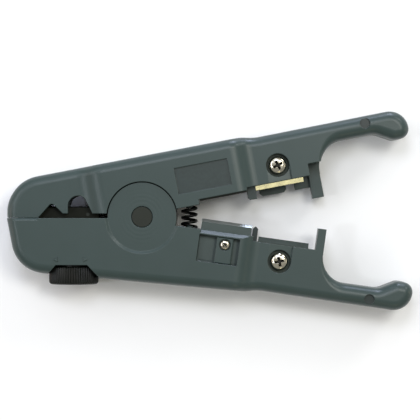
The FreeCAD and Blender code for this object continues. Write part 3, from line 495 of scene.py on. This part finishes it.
# Natural nylon, punched from sheet: waxy off-white
NATURAL_NYLON = MouldedPlastic("natural_nylon_punched", "#D8D4C6", "#CFCABA", roughness=0.5,
                               edge_mm=0.05)
# Carbon steel, hardened and ground: dark tempered flats, and bevels ground across the tool that
# take the colour of the room
UPPER_BLADE_STEEL = WorkedMetal("ground_blade_steel_upper", "#C4C2B2", "#96968C", stretch=8.0,
                                turn_deg=10.8, skin_colour="#3A3F3B")
# The same steel, ground coarser: a blurred bevel over a lighter tempered skin
CUTTER_STEEL = WorkedMetal("ground_cutter_steel", "#C2C8C6", "#9AA09E", roughness=0.42,
                           stretch=8.0, turn_deg=-8.0, skin_colour="#4A5250")
# The same steel with its tempered skin left on the bevel too: grey-green like the handles
LOWER_BLADE_STEEL = WorkedMetal("tempered_blade_steel_lower", "#4E5652", "#3E4441",
                                roughness=0.4, stretch=8.0, turn_deg=-8.0, skin_colour="#3A3F3B")
# The same steel, ground all over: plain and bright
ROUND_BLADE_STEEL = WorkedMetal("ground_blade_steel_round", "#B4B8B2", "#8A8E8A", stretch=8.0)
# Steel screws, nickel plated over rolled heads: bright and slightly warm, with dull spots
NICKEL_PLATE = WorkedMetal("nickel_plated_steel", "#E2DCCB", "#9A947E", roughness=0.18,
                           line_mm=0.5)
# Painted shade on the bottom and walls of a driver's cross: dull brown-black
CROSS_PAINTED_SHADE = WorkedMetal("driver_cross_painted_shade", "#2E2B20", "#1C1B15", roughness=0.55,
                            metallic=0.4)
# Free-cutting steel, turned: rings too fine to see, plain grey
TURNED_STEEL = WorkedMetal("turned_steel", "#A2A39F", "#7C7D7A", roughness=0.32)
# Steel, black oxide: dark green-grey skin that still shines a little
BLACK_OXIDE = WorkedMetal("black_oxide_steel", "#23271F", "#191D17", roughness=0.42, metallic=0.5)
# Music wire, oiled and blackened: black, with a thin highlight along each turn
SPRING_WIRE = WorkedMetal("oiled_spring_wire", "#161816", "#0C0D0C", roughness=0.35,
                          metallic=0.6)
# Uncoated white card: pale, with soft shadows and no highlight
WHITE_CARD = MattCard("matt_white_card", "#FAFAFA")


def dress(node: str, material: bpy.types.Material) -> None:
    """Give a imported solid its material.

    Args:
        node: the solid's node name.
        material: what it is made of.
    """
    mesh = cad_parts[node].data
    mesh.materials.clear()
    mesh.materials.append(material)
    LOG.info("dressed %s with %s", node, material.name)


def begin_piece() -> None:
    """Leave edit mode and select nothing, so that the next primitive stands alone."""
    if bpy.context.object and bpy.context.object.mode != "OBJECT":
        bpy.ops.object.mode_set(mode="OBJECT")
    bpy.ops.object.select_all(action="DESELECT")


def end_piece(name: str, material: bpy.types.Material, body: Optional[Body],
              angle_deg: float = 35.0) -> bpy.types.Object:
    """Finish the active object: name, place in the mesh, clean normals, smooth shade, finish, body.

    Args:
        name: the piece's name.
        material: what it is made of.
        body: the body that it rides on, or None for a piece that is attached to no body.
        angle_deg: edges sharper than this stay sharp.

    Returns:
        The finished piece.
    """
    piece = bpy.context.object
    if piece.mode != "OBJECT":
        bpy.ops.object.mode_set(mode="OBJECT")
    piece.name = name
    piece.data.name = name
    bpy.ops.object.transform_apply(location=True, rotation=True, scale=True)
    bpy.ops.object.mode_set(mode="EDIT")
    bpy.ops.mesh.select_all(action="SELECT")
    bpy.ops.mesh.remove_doubles(threshold=MERGE_MM * MM)
    bpy.ops.mesh.normals_make_consistent(inside=False)
    bpy.ops.object.mode_set(mode="OBJECT")
    bpy.ops.object.shade_smooth_by_angle(angle=math.radians(angle_deg))
    piece.data.materials.clear()
    piece.data.materials.append(material)
    if body:
        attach(piece, body.value)
    LOG.info("made %s with %d faces", name, len(piece.data.polygons))
    return piece


def copy_of(pattern: bpy.types.Object) -> bpy.types.Object:
    """Copy a modelled pattern, with a mesh of its own.

    Args:
        pattern: the shape that is modelled once.

    Returns:
        The copy, active and alone selected.
    """
    begin_piece()
    pattern.select_set(True)
    bpy.context.view_layer.objects.active = pattern
    bpy.ops.object.duplicate(linked=False)
    return bpy.context.object


def discard(pattern: bpy.types.Object) -> None:
    """Throw a pattern or a cutter away with its mesh.

    Args:
        pattern: the object that is done with.
    """
    mesh = pattern.data
    bpy.data.objects.remove(pattern)
    bpy.data.meshes.remove(mesh)


def turned_up(profile: Sequence[Tuple[float, float]], sides: int) -> bpy.types.Object:
    """Draw a round solid up from its foot, ring by ring, with its axis on the world's Z.

    Args:
        profile: radius and height of each ring in millimetres, from the foot up.
        sides: number of corners of each ring.

    Returns:
        The object, out of edit mode.
    """
    begin_piece()
    radius, height = profile[0]
    bpy.ops.mesh.primitive_circle_add(vertices=sides, radius=radius * MM, fill_type="NGON",
                                      location=(0.0, 0.0, height * MM))
    bpy.ops.object.transform_apply(location=True, rotation=False, scale=False)
    bpy.ops.object.mode_set(mode="EDIT")
    bpy.ops.mesh.select_all(action="SELECT")
    for next_radius, next_height in profile[1:]:
        rise = (next_height - height) * MM
        bpy.ops.mesh.extrude_region_move(TRANSFORM_OT_translate={"value": (0.0, 0.0, rise)})
        shrink = next_radius / radius
        bpy.ops.transform.resize(value=(shrink, shrink, 1.0),
                                 center_override=(0.0, 0.0, next_height * MM))
        radius, height = next_radius, next_height
    bpy.ops.object.mode_set(mode="OBJECT")
    return bpy.context.object


@dataclass
class ReturnSpring:
    """The black coil that pushes the arms apart. It shortens as they close.

    Attributes:
        x: where it stands, from the pivot.
        low_y: its lower seat.
        high_y: its upper seat.
        coil_radius: radius of the wire's middle line.
        wire_radius: radius of the wire.
        turns: turns of the coil.
        steps_per_turn: rings of points in each turn.
        wire_sides: corners of the wire's section.
    """

    x: float = 15.05
    low_y: float = -3.8
    high_y: float = 3.65
    coil_radius: float = 2.25
    wire_radius: float = 0.48
    turns: float = 3.2
    steps_per_turn: int = 40
    wire_sides: int = 14

    def build(self) -> None:
        """Wind the coil along Y between the two seats."""
        begin_piece()
        bpy.ops.mesh.primitive_circle_add(vertices=self.wire_sides, radius=self.wire_radius * MM,
                                          fill_type="NGON",
                                          location=(self.coil_radius * MM, 0.0, 0.0),
                                          rotation=(QUARTER_TURN, 0.0, 0.0))
        bpy.ops.object.transform_apply(location=True, rotation=True, scale=False)
        coil = bpy.context.object
        winding = coil.modifiers.new("winding", "SCREW")
        winding.angle = FULL_TURN * self.turns
        winding.screw_offset = (self.high_y - self.low_y - 2 * self.wire_radius) * MM
        winding.steps = winding.render_steps = int(self.steps_per_turn * self.turns)
        bpy.ops.object.modifier_apply(modifier=winding.name)
        bpy.ops.object.mode_set(mode="EDIT")
        bpy.ops.mesh.select_all(action="SELECT")
        bpy.ops.mesh.fill_holes(sides=0)
        bpy.ops.object.mode_set(mode="OBJECT")
        coil.rotation_euler = (-QUARTER_TURN, 0.0, 0.0)
        coil.location = row_point(self.x, self.low_y + self.wire_radius, MIDDLE_Z)
        piece = end_piece("return_spring_coil", SPRING_WIRE.build(), None, angle_deg=60.0)
        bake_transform(piece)
        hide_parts("handle_spring")


@dataclass
class Thumbwheel:
    """The ribbed black wheel under the lower jaw, with a rounded lower rim.

    Attributes:
        x: its axis, from the pivot.
        low_y: its lower face, from the pivot.
        height: thickness of the ribbed wheel.
        radius: radius over the ribs.
        low_rim: how far in from that radius and up from the lower face each ring lies.
        high_rim: how far in from that radius and down from the upper face each ring lies.
        boss_radius: radius of the boss that turns on the jaw.
        boss_height: height of that boss.
        ribs: number of ribs.
        points_per_rib: points round the rim for each rib.
        rib_depth: depth between two ribs.
        rib_start: how far in from the radius the ribs begin.
        rib_run: over how much they reach their full depth.
        rib_shape: one for flat flanks, more for rounder ribs.
    """

    x: float = -22.4
    low_y: float = -21.8
    height: float = 5.7
    radius: float = 8.0
    low_rim: Tuple[Tuple[float, float], ...] = (
        (2.2, 0.0), (1.0, 0.0), (0.62, 0.08), (0.3, 0.3), (0.08, 0.62), (0.0, 1.0))
    high_rim: Tuple[Tuple[float, float], ...] = ((0.0, 0.35), (0.1, 0.1), (0.35, 0.0))
    boss_radius: float = 5.4
    boss_height: float = 0.65
    ribs: int = 60
    points_per_rib: int = 6
    rib_depth: float = 0.32
    rib_start: float = 0.7
    rib_run: float = 0.6
    rib_shape: float = 1.5

    def build(self) -> None:
        """Turn the wheel, press in its ribs and stand it on its axis along Y."""
        top = self.height
        profile = [(self.radius - inset, rise) for inset, rise in self.low_rim]
        profile += [(self.radius - inset, top - drop) for inset, drop in self.high_rim]
        profile += [(self.boss_radius, top), (self.boss_radius, top + self.boss_height)]
        wheel = turned_up(profile, self.ribs * self.points_per_rib)
        self.press_ribs(wheel)
        wheel.rotation_euler = (-QUARTER_TURN, 0.0, 0.0)
        wheel.location = row_point(self.x, self.low_y, MIDDLE_Z)
        piece = end_piece("thumbwheel_ribbed", BLACK_ACETAL.build(), Body.KNOB, angle_deg=40.0)
        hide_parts("adjuster_knob")

    def press_ribs(self, wheel: bpy.types.Object) -> None:
        """Press the valleys between the ribs into the rim.

        Args:
            wheel: the turned wheel, with its axis on the world's Z.
        """
        lines: Dict[float, List[int]] = {}
        for point in wheel.data.vertices:
            shrink = self.rib_shrink(point.co.x / MM, point.co.y / MM)
            if shrink < 1:
                lines.setdefault(shrink, []).append(point.index)
        for shrink, points in lines.items():
            bpy.ops.object.mode_set(mode="EDIT")
            bpy.ops.mesh.select_all(action="DESELECT")
            bpy.ops.object.mode_set(mode="OBJECT")
            for index in points:
                wheel.data.vertices[index].select = True
            bpy.ops.object.mode_set(mode="EDIT")
            bpy.ops.transform.resize(value=(shrink, shrink, 1.0), center_override=(0.0, 0.0, 0.0))
            bpy.ops.object.mode_set(mode="OBJECT")

    def rib_shrink(self, x: float, y: float) -> float:
        """Work out how far a point of the rim is drawn in towards the axis.

        Args:
            x: millimetres from the axis.
            y: millimetres from the axis, square to x.

        Returns:
            The factor for its distance from the axis, one on the crest of a rib.
        """
        reach = math.hypot(x, y)
        begin = self.radius - self.rib_start
        if reach <= begin:
            return 1.0
        rib = math.atan2(y, x) / FULL_TURN * self.ribs
        off_crest = abs(rib - round(rib)) * 2
        fade = min(1.0, (reach - begin) / self.rib_run)
        return round(1 - self.rib_depth * fade * off_crest ** self.rib_shape / reach, 6)


@dataclass
class PanScrew:
    """A cross-slot screw with a domed head.

    Attributes:
        node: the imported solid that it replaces.
        side: the handle it sits in.
        u: along the arm.
        w: out from the mating line.
        seat_z: height of the head's underside.
        slot_turn_deg: how far the cross is turned.
        head_radius: radius of the head.
        head_height: height of the head.
        shank_radius: radius of the shank.
        shank_length: length of the shank.
        tip_share: radius of the shank's tip as a share of the shank's.
        tip_length: length of that tip.
        dome: rings of the head, as shares of its radius and height.
        cross_share: length of the cross as a share of the head's radius.
        cross_width_share: width of its arms as a share of that length.
        cross_depth_share: depth of the cross as a share of the head's height.
        foot_shares: length and width of an arm at its foot as shares of those at its mouth.
        sides: corners of each ring of the head.
    """

    node: str
    side: Side
    u: float
    w: float
    seat_z: float
    slot_turn_deg: float
    head_radius: float = 2.8
    head_height: float = 2.4
    shank_radius: float = 1.5
    shank_length: float = 9.0
    tip_share: float = 0.75
    tip_length: float = 0.3
    dome: Tuple[Tuple[float, float], ...] = (
        (0.97, 0.0), (1.0, 0.05), (1.0, 0.5), (0.985, 0.62), (0.94, 0.75), (0.86, 0.86),
        (0.74, 0.94), (0.55, 0.985), (0.3, 1.0))
    cross_share: float = 1.15
    cross_width_share: float = 0.27
    cross_depth_share: float = 0.75
    foot_shares: Tuple[float, float] = (0.5, 0.7)
    sides: int = 64

    def turn_and_cut(self) -> bpy.types.Object:
        """Turn the screw and cut its cross, with its axis on the world's Z.

        Returns:
            The plain screw.
        """
        profile = [(self.shank_radius * self.tip_share, -self.shank_length),
                   (self.shank_radius, self.tip_length - self.shank_length),
                   (self.shank_radius, 0.0)]
        profile += [(across * self.head_radius, up * self.head_height) for across, up in self.dome]
        screw = turned_up(profile, self.sides)
        for turn in (0.0, QUARTER_TURN):
            cutter = self.cross_arm(turn)
            begin_piece()
            screw.select_set(True)
            bpy.context.view_layer.objects.active = screw
            cut = screw.modifiers.new("cross", "BOOLEAN")
            cut.operation = "DIFFERENCE"
            cut.solver = "EXACT"
            cut.object = cutter
            bpy.ops.object.modifier_apply(modifier=cut.name)
            discard(cutter)
        return screw

    def cross_arm(self, turn: float) -> bpy.types.Object:
        """Make one arm of the cross as a solid that widens upwards and stands out of the head.

        Args:
            turn: angle of the arm in radians.

        Returns:
            The solid to cut with.
        """
        length = self.head_radius * self.cross_share
        width = length * self.cross_width_share
        depth = self.head_height * self.cross_depth_share
        foot_length, foot_width = self.foot_shares
        mouth = (1 / foot_length, 1 / foot_width, 1.0)
        begin_piece()
        bpy.ops.mesh.primitive_plane_add(size=1.0,
                                         location=(0.0, 0.0, (self.head_height - depth) * MM))
        arm = bpy.context.object
        arm.scale = (length * foot_length * MM, width * foot_width * MM, 1.0)
        bpy.ops.object.transform_apply(location=True, rotation=True, scale=True)
        bpy.ops.object.mode_set(mode="EDIT")
        bpy.ops.mesh.select_all(action="SELECT")
        for rise, spread in ((depth, mouth), (depth / 2, (1.0, 1.0, 1.0))):
            bpy.ops.mesh.extrude_region_move(
                TRANSFORM_OT_translate={"value": (0.0, 0.0, rise * MM)})
            bpy.ops.transform.resize(value=spread, center_override=(0.0, 0.0, 0.0))
        bpy.ops.mesh.select_all(action="SELECT")
        bpy.ops.mesh.normals_make_consistent(inside=False)
        bpy.ops.object.mode_set(mode="OBJECT")
        arm.rotation_euler = (0.0, 0.0, turn)
        bpy.ops.object.transform_apply(location=True, rotation=True, scale=True)
        return arm

    def set_in_place(self, pattern: bpy.types.Object, plating: bpy.types.Material,
                     cross_shade: bpy.types.Material) -> None:
        """Set a copy of the plain screw in its pocket.

        Args:
            pattern: the plain screw.
            plating: finish of the screw.
            cross_shade: painted shade inside its cross.
        """
        screw = copy_of(pattern)
        screw.rotation_euler = (0.0, 0.0, math.radians(self.slot_turn_deg))
        screw.location = arm_point(self.side, self.u, self.w, self.seat_z)
        body = Body.UPPER if self.side is Side.UPPER else Body.LOWER
        piece = end_piece(self.node + "_cross", plating, body, angle_deg=30.0)
        # Paint shade inside the cross
        self.paint_cross_shade(piece, cross_shade)
        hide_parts(self.node)

    def paint_cross_shade(self, piece: bpy.types.Object, cross_shade: bpy.types.Material) -> None:
        """Give the faces inside the cross their painted shade.

        Args:
            piece: the screw in its place.
            cross_shade: painted shade inside the cross.
        """
        reach_play = 1.02
        wall_below = 0.5
        floor_share = 0.3
        piece.data.materials.append(cross_shade)
        middle = arm_point(self.side, self.u, self.w, self.seat_z)
        floor_z = (self.seat_z + self.head_height * floor_share) * MM
        reach = self.head_radius * self.cross_share / 2 * reach_play * MM
        for face in piece.data.polygons:
            offset = face.center - middle
            inside = math.hypot(offset.x, offset.y) < reach and offset.z > 0
            if inside and (face.normal.z < wall_below or face.center.z < floor_z):
                face.material_index = 1


@dataclass
class Fasteners:
    """The two blade screws and the clamp's small screw.

    Attributes:
        screws: the screws, with those of one shape in one list.
    """

    screws: List[List[PanScrew]] = field(default_factory=lambda: [
        [PanScrew("upper_blade_screw", Side.UPPER, 45.8, 8.15, 14.4, 28.0),
         PanScrew("lower_blade_screw", Side.LOWER, 45.5, 8.05, 14.4, 12.0)],
        [PanScrew("cutter_screw", Side.LOWER, 27.5, 5.2, 17.5, 35.0, head_radius=1.5,
                  head_height=1.1, shank_radius=1.0, shank_length=7.3, sides=48)],
    ])

    def build(self) -> None:
        """Model each shape of screw once and set its copies, all with the same plating."""
        nickel = NICKEL_PLATE.build()
        # Painted shade for the insides of the crosses
        cross_shade = CROSS_PAINTED_SHADE.build()
        for alike in self.screws:
            pattern = alike[0].turn_and_cut()
            for screw in alike:
                screw.set_in_place(pattern, nickel, cross_shade)
            discard(pattern)


@dataclass
class Handles:
    """The two moulded handles with the cutter's clamp block, and the turn marks over the wheel.

    Attributes:
        mark_height: height of a mark from its foot.
        mark_sink: how far its foot is sunk in the jaw.
        mark_size: width of the circle that its foot's corners lie on.
        mark_taper: size of its top as a share of its foot.
        marks: for each, across and up from the pivot and the way it points in degrees.
    """

    mark_height: float = 0.25
    mark_sink: float = 0.01
    mark_size: float = 1.9
    mark_taper: float = 0.8
    marks: Tuple[Tuple[float, float, float], ...] = ((-27.4, -13.7, 180.0), (-18.3, -13.7, 0.0))

    def build(self) -> None:
        """Dress the mouldings and raise the marks."""
        nylon = HANDLE_NYLON.build()
        dress("cutter_clamp", nylon)
        dress("lower_handle", EAR_NYLON.build())
        dress("upper_handle", PANEL_NYLON.build())
        pattern = self.arrowhead()
        for number, (x, y, turn) in enumerate(self.marks, start=1):
            mark = copy_of(pattern)
            mark.rotation_euler = (0.0, 0.0, math.radians(turn - 90))
            mark.location = row_point(x, y, BODY_TOP_Z - self.mark_sink)
            piece = end_piece(f"turn_mark_{number}", nylon, Body.LOWER)
        discard(pattern)

    def arrowhead(self) -> bpy.types.Object:
        """Raise one small arrowhead that points along +Y.

        Returns:
            The arrowhead at the origin.
        """
        begin_piece()
        bpy.ops.mesh.primitive_circle_add(vertices=3, radius=self.mark_size / 2 * MM,
                                          fill_type="NGON")
        bpy.ops.object.mode_set(mode="EDIT")
        bpy.ops.mesh.select_all(action="SELECT")
        bpy.ops.mesh.extrude_region_move(
            TRANSFORM_OT_translate={"value": (0.0, 0.0, self.mark_height * MM)})
        bpy.ops.transform.resize(value=(self.mark_taper, self.mark_taper, 1.0),
                                 center_override=(0.0, 0.0, 0.0))
        bpy.ops.object.mode_set(mode="OBJECT")
        return bpy.context.object


@dataclass
class BladesAndPivot:
    """The steel blades, the anvil, the pivot and what runs inside the jaw.

    Attributes:
        finishes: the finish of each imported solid, by its node's name.
    """

    finishes: Dict[str, Any] = field(default_factory=lambda: {
        "upper_flat_blade": UPPER_BLADE_STEEL, "lower_flat_blade": LOWER_BLADE_STEEL,
        "cutter_blade": CUTTER_STEEL, "round_blade": ROUND_BLADE_STEEL,
        "cutter_anvil": BLACK_ACETAL, "blade_carrier": RUBBED_ACETAL,
        "pivot_pin": BLACK_OXIDE, "pivot_clip": TURNED_STEEL,
        "pivot_washer_back": NATURAL_NYLON, "pivot_washer_front": NATURAL_NYLON,
        "adjuster_screw": TURNED_STEEL, "adjuster_clip": TURNED_STEEL,
        "round_blade_pin": BLACK_OXIDE,
    })

    def build(self) -> None:
        """Dress each of them with its finish, made once."""
        made: Dict[str, bpy.types.Material] = {}
        for node, finish in self.finishes.items():
            if finish.name not in made:
                made[finish.name] = finish.build()
            dress(node, made[finish.name])


@dataclass
class SoftLight:
    """One square area light of the studio, aimed at the tool.

    Attributes:
        name: what it stands for.
        place: where it hangs, in metres.
        size: length of its side in metres.
        power: its power in watts.
        colour: its colour.
    """

    name: str
    place: Tuple[float, float, float]
    size: float
    power: float
    colour: str

    def build(self) -> None:
        """Hang the light and aim it at the tool."""
        data = bpy.data.lights.new(self.name, "AREA")
        data.shape = "RECTANGLE"
        data.size = data.size_y = self.size
        data.energy = self.power
        data.color = srgb(self.colour)[:3]
        lamp = bpy.data.objects.new(self.name, data)
        bpy.context.scene.collection.objects.link(lamp)
        lamp.location = self.place
        to_tool = Vector((0.0, 0.0, 0.0)) - Vector(self.place)
        lamp.rotation_euler = to_tool.to_track_quat("-Z", "Y").to_euler()


@dataclass
class Studio:
    """A pale floor, soft light and the camera straight above the tool. Sizes are metres.

    Attributes:
        floor_size: side of the card on the floor.
        floor_gap: how far the card lies under the tool's back.
        camera_place: where the camera hangs.
        lens_mm: its focal length in millimetres.
        sensor_mm: width of its sensor in millimetres.
        clip: nearest and farthest distance that it sees.
        room_colour: colour of the even light from all round.
        room_strength: strength of that light.
        lights: the lamps, windows and bright walls.
    """

    floor_size: float = 6.0
    floor_gap: float = 0.00005
    camera_place: Tuple[float, float, float] = (0.00004, 0.00025, 0.6337)
    lens_mm: float = 165.0
    sensor_mm: float = 36.0
    clip: Tuple[float, float] = (0.01, 20.0)
    room_colour: str = "#F4F3EE"
    room_strength: float = 0.38
    lights: List[SoftLight] = field(default_factory=lambda: [
        SoftLight("skylight_high", (-0.0585, 0.332, 0.834), 0.22, 1.9, "#E6EBFA"),
        SoftLight("lamp_high_right", (0.276, 0.193, 0.834), 0.22, 2.05, "#FFFEF6"),
        SoftLight("lamp_small_left", (-0.478, -0.074, 0.798), 0.09, 0.8, "#F0F6FF"),
        SoftLight("window_back", (-0.225, 0.618, 0.614), 0.4, 0.75, "#E8F3FF"),
        SoftLight("window_left", (-0.596, 0.278, 0.614), 0.4, 1.55, "#F2F5FF"),
        SoftLight("window_low", (0.12, 0.885, 0.112), 0.2, 4.0, "#DCE4FF"),
        SoftLight("wall_bounce_right", (0.865, 0.0, 0.248), 0.35, 0.85, "#FFF7E3"),
        SoftLight("wall_bounce_left", (-0.865, 0.0, 0.248), 0.35, 0.9, "#FFE6E0"),
        SoftLight("lamp_back_right", (0.52, 0.56, 0.43), 0.2, 1.2, "#FFFFFF"),
        SoftLight("lamp_warm_front", (0.195, -0.716, 0.519), 0.2, 0.3, "#FFF7C4"),
    ])

    def build(self) -> None:
        """Lay the floor, hang the lights and set the camera and the room."""
        self.lay_floor()
        for light in self.lights:
            light.build()
        self.set_camera()
        self.set_room()

    def lay_floor(self) -> None:
        """Lay a sheet of white card a hair under the tool's back."""
        begin_piece()
        bpy.ops.mesh.primitive_plane_add(size=self.floor_size,
                                         location=(0.0, 0.0, -self.floor_gap))
        floor = bpy.context.object
        floor.name = "studio_floor"
        floor.data.materials.append(WHITE_CARD.build())

    def set_camera(self) -> None:
        """Point the camera straight down, with +Y up in the picture."""
        data = bpy.data.cameras.new("camera_above")
        data.lens = self.lens_mm
        data.sensor_width = self.sensor_mm
        data.clip_start, data.clip_end = self.clip
        camera = bpy.data.objects.new("camera_above", data)
        bpy.context.scene.collection.objects.link(camera)
        camera.location = self.camera_place
        bpy.context.scene.camera = camera

    def set_room(self) -> None:
        """Give the room an even pale light and plain tone."""
        world = bpy.data.worlds.new("pale_room")
        world.use_nodes = True
        tree = world.node_tree
        tree.nodes.clear()
        room = add_node(tree, "ShaderNodeBackground",
                        values={"Color": srgb(self.room_colour), "Strength": self.room_strength})
        add_node(tree, "ShaderNodeOutputWorld", links={"Surface": room.outputs["Background"]})
        bpy.context.scene.world = world
        bpy.context.scene.view_settings.view_transform = "Standard"


def main() -> None:
    """Build the sub-assemblies in order, then the studio."""
    logging.basicConfig(level=logging.INFO, format="%(name)s: %(message)s")
    for part in (Handles(), BladesAndPivot(), ReturnSpring(), Thumbwheel(), Fasteners(), Studio()):
        part.build()
        LOG.info("finished %s", type(part).__name__)


if __name__ == "__main__":
    main()
